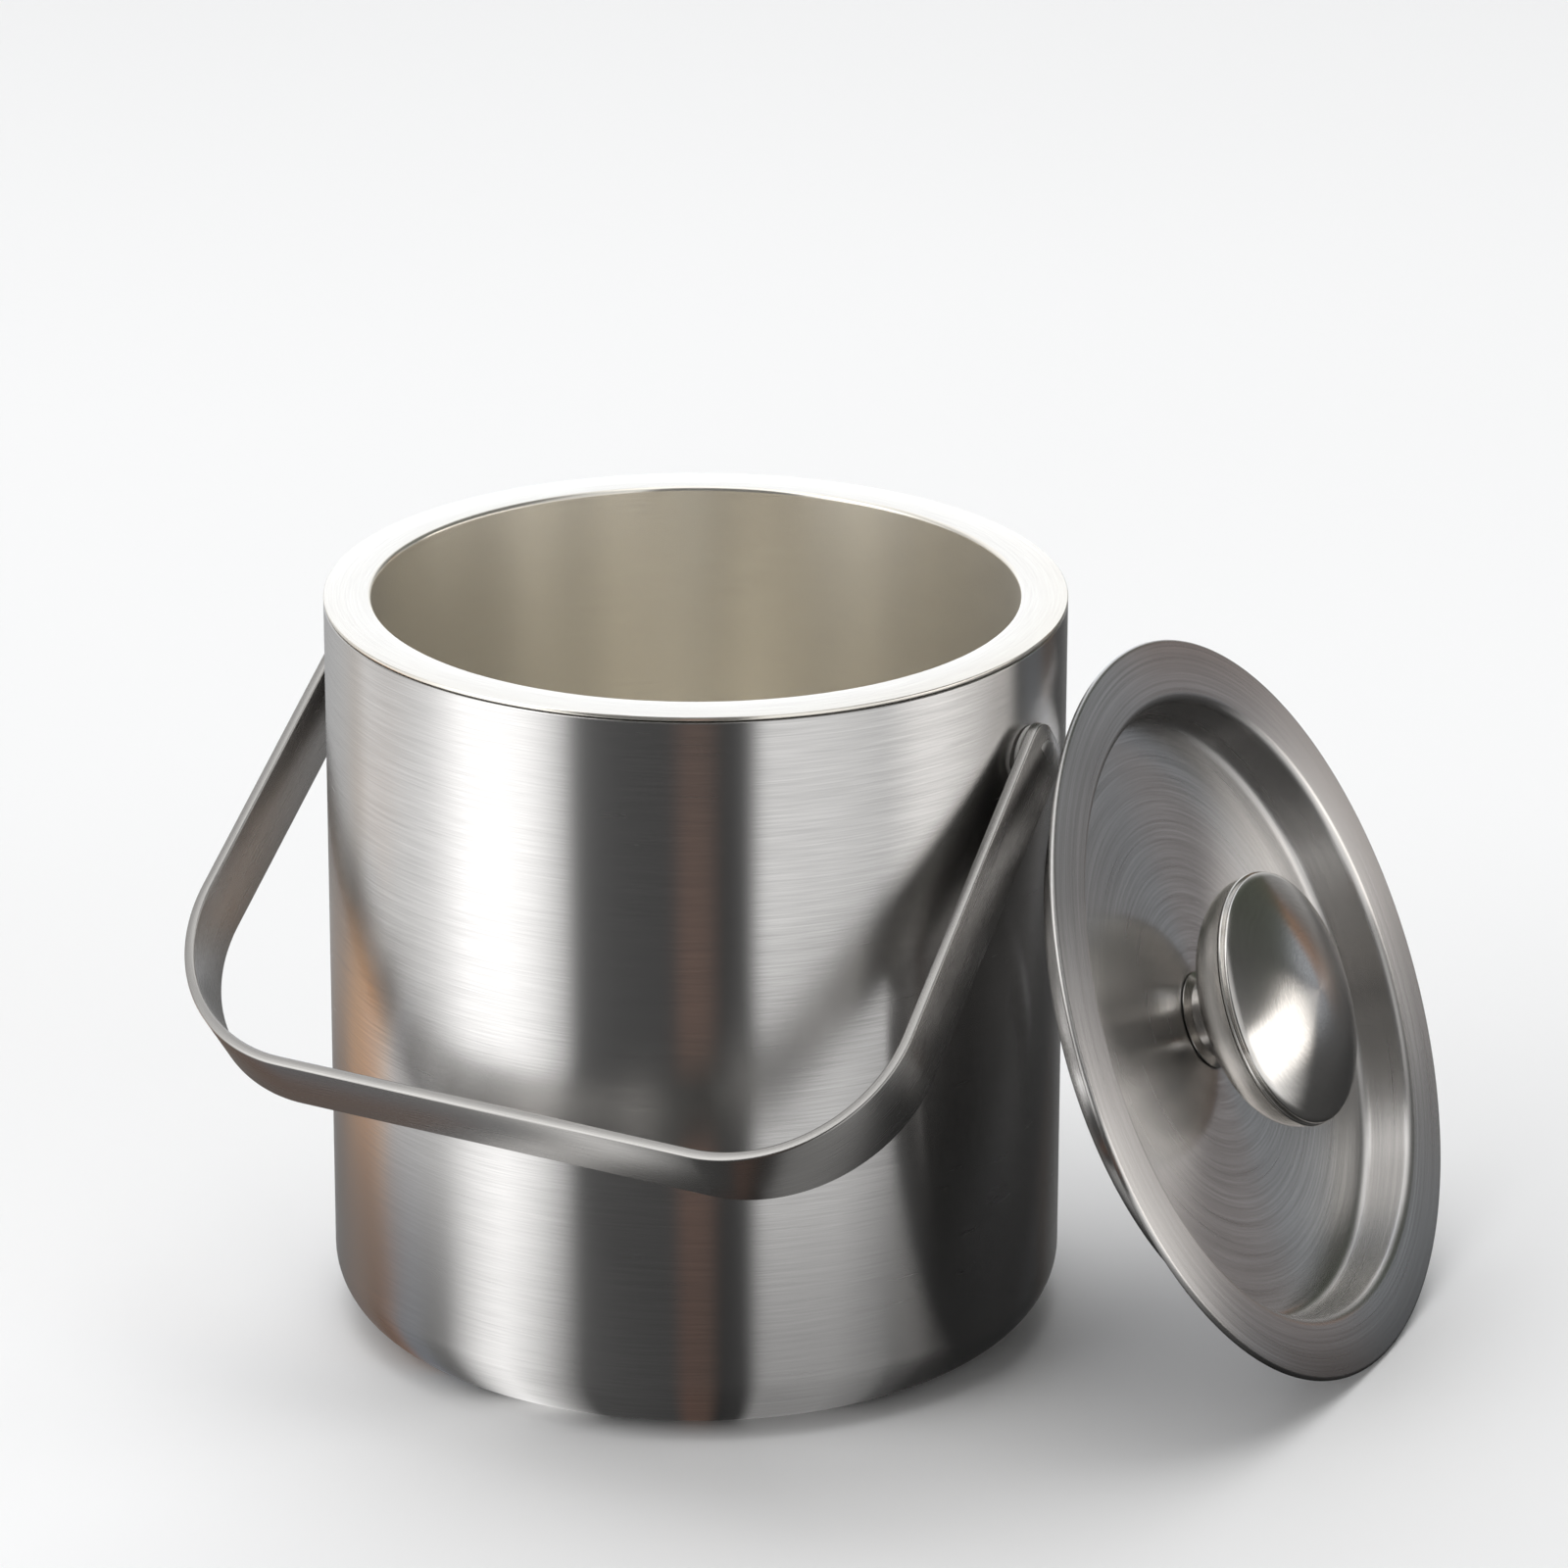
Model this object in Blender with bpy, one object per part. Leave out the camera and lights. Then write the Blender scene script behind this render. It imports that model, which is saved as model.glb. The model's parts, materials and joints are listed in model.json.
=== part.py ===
"""Ice bucket: a double-walled steel bucket with a flat swinging bail and a loose lid with a knob.

Units are metres, +Z is up and the front of the bucket is -Y. The origin is the centre of the base,
on the surface that the bucket stands on. The bail pivots about a line along X. At rest the bail lies
forward against the wall, and the lid leans on the right-hand side of the bucket.
"""

import math

import bmesh
import bpy
from mathutils import Vector

# Bucket
BODY_RADIUS = 0.0700
BODY_HEIGHT = 0.1436
MOUTH_RADIUS = 0.0610
SHEET = 0.0008
FIT_GAP = 0.0003
BOTTOM_EDGE_RADIUS = 0.0118
LIP_RADIUS = 0.0014
BASE_PLATE_RADIUS = 0.0500
BASE_PLATE_THICKNESS = 0.0012
LINER_FLOOR_HEIGHT = 0.0130
LINER_CORNER_RADIUS = 0.0120

# Pivots of the bail, measured outwards from the bucket's axis
PIVOT_HEIGHT = 0.1236
PIN_RADIUS = 0.0025
PIN_HEAD_RADIUS = 0.0031
PIN_HEAD_RIM = 0.0002
PIN_INNER_END = 0.0639
PIN_CHAMFER = 0.0004
GROOVE_START = 0.0649
GROOVE_WIDTH = 0.0010
GROOVE_RADIUS = 0.0019
CLIP_INNER_RADIUS = 0.0022
CLIP_OUTER_RADIUS = 0.0044
CLIP_THICKNESS = 0.0006
CLIP_SPAN = math.radians(300)
BUSH_FLANGE_RADIUS = 0.0052
BUSH_FLANGE_THICKNESS = 0.0007
BUSH_SLEEVE_RADIUS = 0.0039
BUSH_INNER_END = 0.0668
SPACER_RADIUS = 0.0050
SPACER_THICKNESS = 0.00045
BACKING_THICKNESS = 0.0010
BACKING_HEIGHT = 0.0180
BACKING_HALF_ANGLE = math.radians(8)

# Bail, a flat strip bent to a wide U and drawn hanging straight down from its pivot axis
STRAP_WIDTH = 0.0146
STRAP_THICKNESS = 0.0020
STRAP_CHAMFER = 0.00025
STRAP_END_RADIUS = 0.0044
STRAP_END_REACH = 0.0046
ARM_HALF_SPREAD_TOP = 0.0732
ARM_HALF_SPREAD_LOW = 0.0752
BAIL_DROP = 0.0974
BAIL_CORNER_RADIUS = 0.0313
BAIL_REST_SWING = math.radians(51)

# Lid, drawn with its seat at Z = 0 and its knob upwards
LID_SHEET = 0.0007
LID_RADIUS = 0.0721
LID_HEM_WIDTH = 0.0030
LID_EDGE_RADIUS = 0.0004
LID_BEND_START = 0.0618
LID_BEND_RADIUS = 0.0020
LID_WALL_TAPER = 0.0005
LID_RECESS_DEPTH = 0.0105
LID_FILLET_RADIUS = 0.0025
LID_HOLE_RADIUS = 0.0028

# Knob, in the lid's own frame
CAP_RADIUS = 0.0244
CAP_EDGE_HEIGHT = 0.0097
CAP_TOP_HEIGHT = 0.0156
CAP_SKIRT_DEPTH = 0.0018
CAP_GROOVE = 0.0004
KNOB_SHEET = 0.0008
BOWL_RADIUS = 0.0244
BOWL_LIP_HEIGHT = 0.0076
BOWL_DEPTH = 0.0109
BOWL_FULLNESS = 2.4
NECK_RADIUS = 0.0076
NECK_HEIGHT = -0.0055
KNOB_FOOT_RADIUS = 0.0095
BOSS_RADIUS = 0.0050
BOSS_TOP = 0.0060
SCREW_RADIUS = 0.0025
SCREW_TOP = 0.0040
SCREW_HEAD_RADIUS = 0.0045
SCREW_HEAD_HEIGHT = 0.0026
SCREW_SOCKET_RADIUS = 0.0015
SCREW_SOCKET_DEPTH = 0.0014
WASHER_RADIUS = 0.0062
WASHER_THICKNESS = 0.0008

# Where the lid leans: the centre of its seat, its turn about Z and its tilt from level
LID_TILT = math.radians(66)
LID_TURN = math.radians(4.3)
LID_OUTWARD = 0.10010
LID_BACKWARD = 0.0357

ROUND_STEPS = 60
KNOB_STEPS = 36
SMALL_STEPS = 24
SHARP_ANGLE = math.radians(35)
SIDES = (("right", 1), ("left", -1))


def clear_scene():
    for obj in list(bpy.data.objects):
        bpy.data.objects.remove(obj, do_unlink=True)


def steel(name, colour, roughness, metallic=1.0):
    """A Principled material with one colour, roughness and metallic value."""
    material = bpy.data.materials.new(name)
    material.use_nodes = True
    shader = material.node_tree.nodes["Principled BSDF"]
    shader.inputs["Base Color"].default_value = (*colour, 1.0)
    shader.inputs["Roughness"].default_value = roughness
    shader.inputs["Metallic"].default_value = metallic
    return material


def axis_empty(name, location, rotation):
    empty = bpy.data.objects.new(name, None)
    empty.location = location
    empty.rotation_euler = rotation
    bpy.context.collection.objects.link(empty)
    return empty


def add_object(name, bm, material=None, parent=None, location=(0, 0, 0), rotation=(0, 0, 0)):
    """Turns a finished bmesh into a smooth-shaded object."""
    bmesh.ops.recalc_face_normals(bm, faces=bm.faces)
    mesh = bpy.data.meshes.new(name)
    bm.to_mesh(mesh)
    bm.free()
    mesh.shade_smooth()
    mesh.set_sharp_from_angle(angle=SHARP_ANGLE)
    if material:
        mesh.materials.append(material)
    obj = bpy.data.objects.new(name, mesh)
    obj.parent = parent
    obj.location = location
    obj.rotation_euler = rotation
    bpy.context.collection.objects.link(obj)
    return obj


def arc(radius, height, size, start, end, steps):
    """Points of an arc about (radius, height), from start to end in degrees, ends included."""
    angles = (math.radians(start + (end - start) * i / steps) for i in range(steps + 1))
    return [(radius + size * math.cos(a), height + size * math.sin(a)) for a in angles]


def turned(name, outline, steps, **placing):
    """Spins a closed outline of (radius, height) points about the local Z axis."""
    bm = bmesh.new()
    verts = [bm.verts.new((radius, 0, height)) for radius, height in outline]
    edges = [bm.edges.new((a, b)) for a, b in zip(verts, verts[1:] + verts[:1], strict=True)]
    bmesh.ops.spin(bm, geom=verts + edges, cent=(0, 0, 0), axis=(0, 0, 1),
                   angle=math.tau, steps=steps, use_merge=True)
    bmesh.ops.remove_doubles(bm, verts=bm.verts, dist=1e-6)
    loose = [edge for edge in bm.edges if not edge.link_faces]
    bmesh.ops.delete(bm, geom=loose, context="EDGES")
    return add_object(name, bm, **placing)


def lofted(name, sections, **placing):
    """Skins a row of equal closed sections and caps both ends."""
    bm = bmesh.new()
    rings = [[bm.verts.new(point) for point in section] for section in sections]
    count = len(rings[0])
    for ring, following in zip(rings, rings[1:]):
        for i in range(count):
            j = (i + 1) % count
            bm.faces.new((ring[i], ring[j], following[j], following[i]))
    bm.faces.new(rings[0])
    bm.faces.new(rings[-1])
    return add_object(name, bm, **placing)


def cut(target, cutter):
    """Subtracts a helper object, which is left out of the finished part."""
    cutter.hide_render = True
    cutter.display_type = "WIRE"
    modifier = target.modifiers.new("cut_" + cutter.name, "BOOLEAN")
    modifier.operation = "DIFFERENCE"
    modifier.object = cutter


def rod_outline(radius, start, end):
    return [(0, start), (radius, start), (radius, end), (0, end)]


def ring_outline(inner, outer, start, end):
    return [(inner, start), (outer, start), (outer, end), (inner, end)]


def outer_shell(material):
    """The brushed outer wall, with a round bottom edge and an opening for the base plate."""
    top = BODY_HEIGHT - SHEET - FIT_GAP
    bend = BODY_RADIUS - BOTTOM_EDGE_RADIUS
    opening = BASE_PLATE_RADIUS + FIT_GAP
    outside = arc(bend, BOTTOM_EDGE_RADIUS, BOTTOM_EDGE_RADIUS, 0, -90, 6)
    inside = arc(bend, BOTTOM_EDGE_RADIUS, BOTTOM_EDGE_RADIUS - SHEET, -90, 0, 5)
    outline = [(BODY_RADIUS, top), *outside, (opening, 0), (opening, SHEET), *inside]
    outline.append((BODY_RADIUS - SHEET, top))
    shell = turned("outer_shell", outline, ROUND_STEPS, material=material)
    drill_length = 2 * (BODY_RADIUS + SHEET)
    drill = turned("pivot_hole_cutter",
                   rod_outline(BUSH_SLEEVE_RADIUS + FIT_GAP, -drill_length / 2, drill_length / 2),
                   SMALL_STEPS, location=(0, 0, PIVOT_HEIGHT), rotation=(0, math.pi / 2, 0))
    cut(shell, drill)


def inner_liner(material):
    """The inner cup. Its broad flat flange closes the gap between the walls and forms the rim."""
    lip_centre = (MOUTH_RADIUS + LIP_RADIUS, BODY_HEIGHT - LIP_RADIUS)
    corner = (MOUTH_RADIUS - LINER_CORNER_RADIUS, LINER_FLOOR_HEIGHT + LINER_CORNER_RADIUS)
    outline = [(BODY_RADIUS, BODY_HEIGHT)]
    outline += arc(*lip_centre, LIP_RADIUS, 90, 180, 3)
    outline += arc(*corner, LINER_CORNER_RADIUS, 0, -90, 5)
    outline += [(0, LINER_FLOOR_HEIGHT), (0, LINER_FLOOR_HEIGHT - SHEET)]
    outline += arc(*corner, LINER_CORNER_RADIUS + SHEET, -90, 0, 5)
    outline += arc(*lip_centre, LIP_RADIUS - SHEET, 180, 90, 2)
    outline.append((BODY_RADIUS, BODY_HEIGHT - SHEET))
    turned("inner_liner", outline, ROUND_STEPS, material=material)


def base_plate(material):
    """The flat disc that closes the outer shell underneath and carries the rest face."""
    outline = rod_outline(BASE_PLATE_RADIUS, 0, BASE_PLATE_THICKNESS)
    turned("base_plate", outline, ROUND_STEPS, material=material)


def backing_plate(side, sign, material):
    """A curved pad behind the outer wall that stiffens it round the bush."""
    outer = BODY_RADIUS - SHEET - FIT_GAP
    steps = 6
    sections = []
    for i in range(steps + 1):
        angle = BACKING_HALF_ANGLE * (2 * i / steps - 1)
        corners = ring_outline(outer - BACKING_THICKNESS, outer, -BACKING_HEIGHT / 2, BACKING_HEIGHT / 2)
        sections.append([(r * math.cos(angle), r * math.sin(angle), z) for r, z in corners])
    turn = 0 if sign > 0 else math.pi
    plate = lofted(side + "_backing_plate", sections, material=material,
                   location=(0, 0, PIVOT_HEIGHT), rotation=(0, 0, turn))
    hole = rod_outline(BUSH_SLEEVE_RADIUS + FIT_GAP, BUSH_INNER_END, BODY_RADIUS)
    cut(plate, turned(side + "_backing_cutter", hole, SMALL_STEPS,
                      location=(0, 0, PIVOT_HEIGHT), rotation=(0, sign * math.pi / 2, 0)))


def pivot_bush(side, sign, material):
    """The flanged sleeve in the wall that the pivot pin turns in."""
    bore = PIN_RADIUS + FIT_GAP
    flange = BODY_RADIUS + FIT_GAP
    face = flange + BUSH_FLANGE_THICKNESS
    outline = [(bore, BUSH_INNER_END), (BUSH_SLEEVE_RADIUS, BUSH_INNER_END),
               (BUSH_SLEEVE_RADIUS, flange), (BUSH_FLANGE_RADIUS, flange),
               (BUSH_FLANGE_RADIUS, face), (bore, face)]
    turned(side + "_pivot_bush", outline, SMALL_STEPS, material=material,
           location=(0, 0, PIVOT_HEIGHT), rotation=(0, sign * math.pi / 2, 0))
    return face


def spacer_washer(side, sign, start, material):
    """The thin washer that keeps the strap off the bush."""
    outline = ring_outline(PIN_RADIUS + FIT_GAP, SPACER_RADIUS, start, start + SPACER_THICKNESS)
    turned(side + "_spacer_washer", outline, SMALL_STEPS, material=material,
           location=(0, 0, PIVOT_HEIGHT), rotation=(0, sign * math.pi / 2, 0))


def pivot_pin(side, sign, parent, material):
    """A pin with a flush countersunk head in the strap and a groove for its clip."""
    head = ARM_HALF_SPREAD_TOP + STRAP_THICKNESS / 2
    cone = head - PIN_HEAD_RIM - (PIN_HEAD_RADIUS - PIN_RADIUS)
    groove_end = GROOVE_START + GROOVE_WIDTH
    outline = [(0, head), (PIN_HEAD_RADIUS, head), (PIN_HEAD_RADIUS, head - PIN_HEAD_RIM),
               (PIN_RADIUS, cone), (PIN_RADIUS, groove_end), (GROOVE_RADIUS, groove_end),
               (GROOVE_RADIUS, GROOVE_START), (PIN_RADIUS, GROOVE_START),
               (PIN_RADIUS, PIN_INNER_END + PIN_CHAMFER),
               (PIN_RADIUS - PIN_CHAMFER, PIN_INNER_END), (0, PIN_INNER_END)]
    turned(side + "_pivot_pin", outline, SMALL_STEPS, material=material, parent=parent,
           rotation=(0, sign * math.pi / 2, 0))


def retaining_clip(side, sign, parent, material):
    """An open ring that snaps into the pin's groove inside the double wall."""
    start = GROOVE_START + (GROOVE_WIDTH - CLIP_THICKNESS) / 2
    corners = ring_outline(CLIP_INNER_RADIUS, CLIP_OUTER_RADIUS, start, start + CLIP_THICKNESS)
    sections = []
    for i in range(SMALL_STEPS + 1):
        angle = CLIP_SPAN * (i / SMALL_STEPS - 0.5)
        sections.append([(r * math.cos(angle), r * math.sin(angle), z) for r, z in corners])
    lofted(side + "_retaining_clip", sections, material=material, parent=parent,
           rotation=(0, sign * math.pi / 2, 0))


def strap_stations():
    """(spread, drop, outward normal, half width) along the strap's middle, left end to right end."""
    centre_x = ARM_HALF_SPREAD_LOW - BAIL_CORNER_RADIUS
    centre_drop = BAIL_DROP - BAIL_CORNER_RADIUS
    reach = Vector((centre_x - ARM_HALF_SPREAD_TOP, centre_drop))
    lean = math.atan2(reach.x, reach.y) + math.asin(BAIL_CORNER_RADIUS / reach.length)
    along = Vector((math.sin(lean), math.cos(lean)))
    normal = Vector((along.y, -along.x))
    pivot = Vector((ARM_HALF_SPREAD_TOP, 0))
    arm_end = Vector((centre_x, centre_drop)) + BAIL_CORNER_RADIUS * normal
    full = STRAP_WIDTH / 2

    right = []
    end_steps = 6
    for i in range(end_steps + 1):
        turn = math.radians(90) * (1 - i / end_steps)
        inset = STRAP_END_RADIUS * (1 - math.sin(turn))
        half = full - STRAP_END_RADIUS * (1 - math.cos(turn))
        right.append((pivot - along * (STRAP_END_REACH - inset), normal, half))
    arm_steps = 4
    start = pivot - along * (STRAP_END_REACH - STRAP_END_RADIUS)
    for i in range(1, arm_steps):
        right.append((start.lerp(arm_end, i / arm_steps), normal, full))
    corner_steps = 10
    first = math.atan2(normal.y, normal.x)
    for i in range(corner_steps + 1):
        angle = first + (math.pi / 2 - first) * i / corner_steps
        outward = Vector((math.cos(angle), math.sin(angle)))
        middle = Vector((centre_x, centre_drop)) + BAIL_CORNER_RADIUS * outward
        right.append((middle, outward, full))
    mirrored = [(Vector((-p.x, p.y)), Vector((-n.x, n.y)), half) for p, n, half in right]
    return mirrored + right[::-1]


def bail_strap(parent, material):
    """The handle: one strip with chamfered edges, round ends and a countersunk hole at each pivot."""
    edge = STRAP_THICKNESS / 2
    sections = []
    for middle, normal, half in strap_stations():
        flat = half - STRAP_CHAMFER
        side = edge - STRAP_CHAMFER
        corners = [(flat, edge), (half, side), (half, -side), (flat, -edge),
                   (-flat, -edge), (-half, -side), (-half, side), (-flat, edge)]
        points = [(middle + normal * out, across) for across, out in corners]
        sections.append([(p.x, across, -p.y) for p, across in points])
    strap = lofted("bail_strap", sections, material=material, parent=parent)
    outer = ARM_HALF_SPREAD_TOP + STRAP_THICKNESS / 2
    wide = PIN_HEAD_RADIUS + FIT_GAP
    narrow = PIN_RADIUS + FIT_GAP
    shoulder = outer - PIN_HEAD_RIM - FIT_GAP
    hole = [(0, outer + STRAP_THICKNESS), (wide, outer + STRAP_THICKNESS), (wide, shoulder),
            (narrow, shoulder - (wide - narrow)), (narrow, BODY_RADIUS), (0, BODY_RADIUS)]
    for side, sign in SIDES:
        cut(strap, turned(side + "_strap_cutter", hole, SMALL_STEPS, parent=parent,
                          rotation=(0, sign * math.pi / 2, 0)))


def lid_pan(parent, material):
    """The lid: one pressed sheet with a hemmed flange, a steep recess wall and a flat recess floor."""
    top = 2 * LID_SHEET
    floor = top - LID_RECESS_DEPTH
    wall = LID_BEND_START - LID_BEND_RADIUS
    bend = (LID_BEND_START, top - LID_BEND_RADIUS)
    foot = wall - LID_WALL_TAPER
    fillet = (foot - LID_FILLET_RADIUS, floor + LID_FILLET_RADIUS)
    hem = LID_RADIUS - LID_HEM_WIDTH
    rim = LID_RADIUS - LID_EDGE_RADIUS
    outline = [(hem, LID_SHEET), (hem, 0)]
    outline += arc(rim, LID_EDGE_RADIUS, LID_EDGE_RADIUS, -90, 0, 2)
    outline += arc(rim, top - LID_EDGE_RADIUS, LID_EDGE_RADIUS, 0, 90, 2)
    outline += arc(*bend, LID_BEND_RADIUS, 90, 180, 3)
    outline += arc(*fillet, LID_FILLET_RADIUS, 0, -90, 3)
    outline += [(LID_HOLE_RADIUS, floor), (LID_HOLE_RADIUS, floor - LID_SHEET)]
    outline += arc(*fillet, LID_FILLET_RADIUS + LID_SHEET, -90, 0, 3)
    outline += arc(*bend, LID_BEND_RADIUS - LID_SHEET, 180, 90, 2)
    turned("lid_pan", outline, ROUND_STEPS, parent=parent, material=material)


def knob_cap(parent, material):
    """The shallow dome that tops the knob, with a groove and a skirt over the bowl."""
    rise = CAP_TOP_HEIGHT - CAP_EDGE_HEIGHT
    dome = (CAP_RADIUS ** 2 + rise ** 2) / (2 * rise)
    centre = CAP_TOP_HEIGHT - dome
    rim_angle = math.degrees(math.asin(CAP_RADIUS / dome))
    skirt = CAP_EDGE_HEIGHT - CAP_SKIRT_DEPTH
    inner = CAP_RADIUS - KNOB_SHEET
    inner_angle = math.degrees(math.asin(inner / (dome - KNOB_SHEET)))
    outline = arc(0, centre, dome, 90, 90 - rim_angle, 7)
    outline += [(CAP_RADIUS, CAP_EDGE_HEIGHT - CAP_GROOVE),
                (CAP_RADIUS - CAP_GROOVE, CAP_EDGE_HEIGHT - 2 * CAP_GROOVE),
                (CAP_RADIUS + CAP_GROOVE, CAP_EDGE_HEIGHT - 3 * CAP_GROOVE),
                (CAP_RADIUS + CAP_GROOVE, skirt), (inner, skirt)]
    outline += arc(0, centre, dome - KNOB_SHEET, 90 - inner_angle, 90, 6)
    turned("knob_cap", outline, KNOB_STEPS, parent=parent, material=material)


def bowl_side(offset, end_radius):
    """A full-bellied curve from the bowl's lip in to end_radius, set inwards by offset."""
    width = BOWL_RADIUS - offset
    depth = BOWL_DEPTH - offset
    power = 2 / BOWL_FULLNESS
    end = math.acos((end_radius / width) ** (1 / power))
    steps = 8
    return [(width * math.cos(end * i / steps) ** power,
             BOWL_LIP_HEIGHT - depth * math.sin(end * i / steps) ** power) for i in range(steps + 1)]


def knob_bowl(parent, material):
    """The lower half of the knob, drawn down to a waisted neck and a foot on the recess floor."""
    foot = 2 * LID_SHEET - LID_RECESS_DEPTH + FIT_GAP
    inner_neck = NECK_RADIUS - KNOB_SHEET
    outline = bowl_side(0, NECK_RADIUS + KNOB_SHEET)
    outline += [(NECK_RADIUS, NECK_HEIGHT), (KNOB_FOOT_RADIUS, foot), (LID_HOLE_RADIUS, foot),
                (LID_HOLE_RADIUS, foot + KNOB_SHEET), (inner_neck, foot + KNOB_SHEET)]
    outline += bowl_side(KNOB_SHEET, inner_neck)[::-1]
    turned("knob_bowl", outline, KNOB_STEPS, parent=parent, material=material)


def knob_fastening(parent, material):
    """The threaded boss in the knob, and the screw and washer that hold it from under the lid."""
    floor = 2 * LID_SHEET - LID_RECESS_DEPTH
    boss_foot = floor + KNOB_SHEET + 2 * FIT_GAP
    boss = ring_outline(SCREW_RADIUS + FIT_GAP, BOSS_RADIUS, boss_foot, BOSS_TOP)
    turned("knob_boss", boss, SMALL_STEPS, parent=parent, material=material)
    washer_top = floor - LID_SHEET - FIT_GAP
    washer_foot = washer_top - WASHER_THICKNESS
    washer = ring_outline(SCREW_RADIUS + FIT_GAP, WASHER_RADIUS, washer_foot, washer_top)
    turned("knob_washer", washer, SMALL_STEPS, parent=parent, material=material)
    head_top = washer_foot - FIT_GAP
    head_foot = head_top - SCREW_HEAD_HEIGHT
    socket = head_foot + SCREW_SOCKET_DEPTH
    screw = [(0, socket), (SCREW_SOCKET_RADIUS, socket), (SCREW_SOCKET_RADIUS, head_foot)]
    screw += arc(SCREW_HEAD_RADIUS - SCREW_HEAD_HEIGHT, head_top, SCREW_HEAD_HEIGHT, -90, 0, 4)
    screw += [(SCREW_RADIUS, head_top), (SCREW_RADIUS, SCREW_TOP), (0, SCREW_TOP)]
    turned("knob_screw", screw, SMALL_STEPS, parent=parent, material=material)


def main():
    clear_scene()
    brushed = steel("brushed_steel", (0.60, 0.59, 0.57), 0.32)
    satin = steel("satin_steel", (0.66, 0.65, 0.63), 0.24)
    polished = steel("polished_steel", (0.70, 0.69, 0.68), 0.14)
    plain = steel("plain_steel", (0.50, 0.50, 0.49), 0.40)
    nylon = steel("nylon", (0.80, 0.79, 0.75), 0.55, metallic=0.0)

    outer_shell(brushed)
    inner_liner(satin)
    base_plate(plain)
    bail_axis = axis_empty("bail_axis", (0, 0, PIVOT_HEIGHT), (-BAIL_REST_SWING, 0, 0))
    bail_strap(bail_axis, brushed)
    for side, sign in SIDES:
        backing_plate(side, sign, plain)
        bush_face = pivot_bush(side, sign, nylon)
        spacer_washer(side, sign, bush_face + FIT_GAP, nylon)
        pivot_pin(side, sign, bail_axis, plain)
        retaining_clip(side, sign, bail_axis, plain)

    edge_lift = LID_EDGE_RADIUS * (1 - math.cos(LID_TILT))
    lid_height = (LID_RADIUS - LID_EDGE_RADIUS) * math.sin(LID_TILT) + edge_lift
    lid_axis = axis_empty("lid_axis", (LID_OUTWARD, LID_BACKWARD, lid_height), (0, LID_TILT, LID_TURN))
    lid_pan(lid_axis, brushed)
    knob_cap(lid_axis, polished)
    knob_bowl(lid_axis, polished)
    knob_fastening(lid_axis, plain)


main()
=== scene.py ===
"""Looks for the ice bucket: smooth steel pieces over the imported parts, a studio and a camera.

Units are metres, +Z is up and the front of the bucket is -Y. Every turned piece is drawn about its own
local Z axis, so that its grain can follow that axis. The bail and lid have their own local frames.
"""

import json
import math

import bmesh
import bpy
from mathutils import Euler, Matrix, Vector


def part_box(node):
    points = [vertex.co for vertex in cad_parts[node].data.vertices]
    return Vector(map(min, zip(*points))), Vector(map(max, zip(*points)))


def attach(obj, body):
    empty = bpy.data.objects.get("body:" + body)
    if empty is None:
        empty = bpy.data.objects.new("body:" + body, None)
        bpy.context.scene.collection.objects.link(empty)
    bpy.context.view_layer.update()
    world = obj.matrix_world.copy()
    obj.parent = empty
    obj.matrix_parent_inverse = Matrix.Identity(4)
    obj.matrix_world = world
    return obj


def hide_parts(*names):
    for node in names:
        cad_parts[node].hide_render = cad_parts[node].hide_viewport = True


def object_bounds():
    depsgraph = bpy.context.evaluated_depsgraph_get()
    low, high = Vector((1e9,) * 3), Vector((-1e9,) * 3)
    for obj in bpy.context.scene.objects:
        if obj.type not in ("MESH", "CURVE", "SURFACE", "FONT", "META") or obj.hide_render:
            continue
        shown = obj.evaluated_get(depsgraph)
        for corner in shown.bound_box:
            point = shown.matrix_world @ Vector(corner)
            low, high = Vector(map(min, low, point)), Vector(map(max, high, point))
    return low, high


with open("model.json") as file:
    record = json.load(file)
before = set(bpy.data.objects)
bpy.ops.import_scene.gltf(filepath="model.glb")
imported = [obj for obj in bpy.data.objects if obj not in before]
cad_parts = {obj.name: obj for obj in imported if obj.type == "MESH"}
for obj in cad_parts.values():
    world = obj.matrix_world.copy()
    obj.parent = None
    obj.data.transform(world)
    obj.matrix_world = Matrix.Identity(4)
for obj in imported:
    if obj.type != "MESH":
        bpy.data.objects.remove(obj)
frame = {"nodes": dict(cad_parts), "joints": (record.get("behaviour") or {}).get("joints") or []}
cad_low, cad_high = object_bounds()

SIDES = (("right", 1), ("left", -1))
JOINTS = {joint["name"]: joint for joint in frame["joints"]}
SWING = JOINTS["bail_swing"]
LIFT = JOINTS["lid_lift"]

# Bucket
BODY_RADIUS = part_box("outer_shell")[1].x
BODY_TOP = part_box("outer_shell")[1].z
RIM_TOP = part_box("inner_liner")[1].z
LINER_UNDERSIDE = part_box("inner_liner")[0].z
BASE_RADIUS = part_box("base_plate")[1].x
BASE_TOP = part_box("base_plate")[1].z
BASE_GAP = 0.0003
SHEET = 0.0008
BOTTOM_EDGE_RADIUS = 0.0118
MOUTH_RADIUS = 0.0610
LIP_RADIUS = 0.0009
LINER_CORNER_RADIUS = 0.0120
EDGE_SOFTNESS = 0.00025

# Pivots
PIVOT = Vector(SWING["pos_m"])
PIN_RADIUS = 0.0025
PIN_HEAD_RADIUS = 0.0031
PIN_HEAD_RIM = 0.0002
BORE_RADIUS = 0.0028
BUSH_SLEEVE_RADIUS = 0.0039
BUSH_GAP = 0.0003
PIVOT_SOFTNESS = 0.00012

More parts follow.
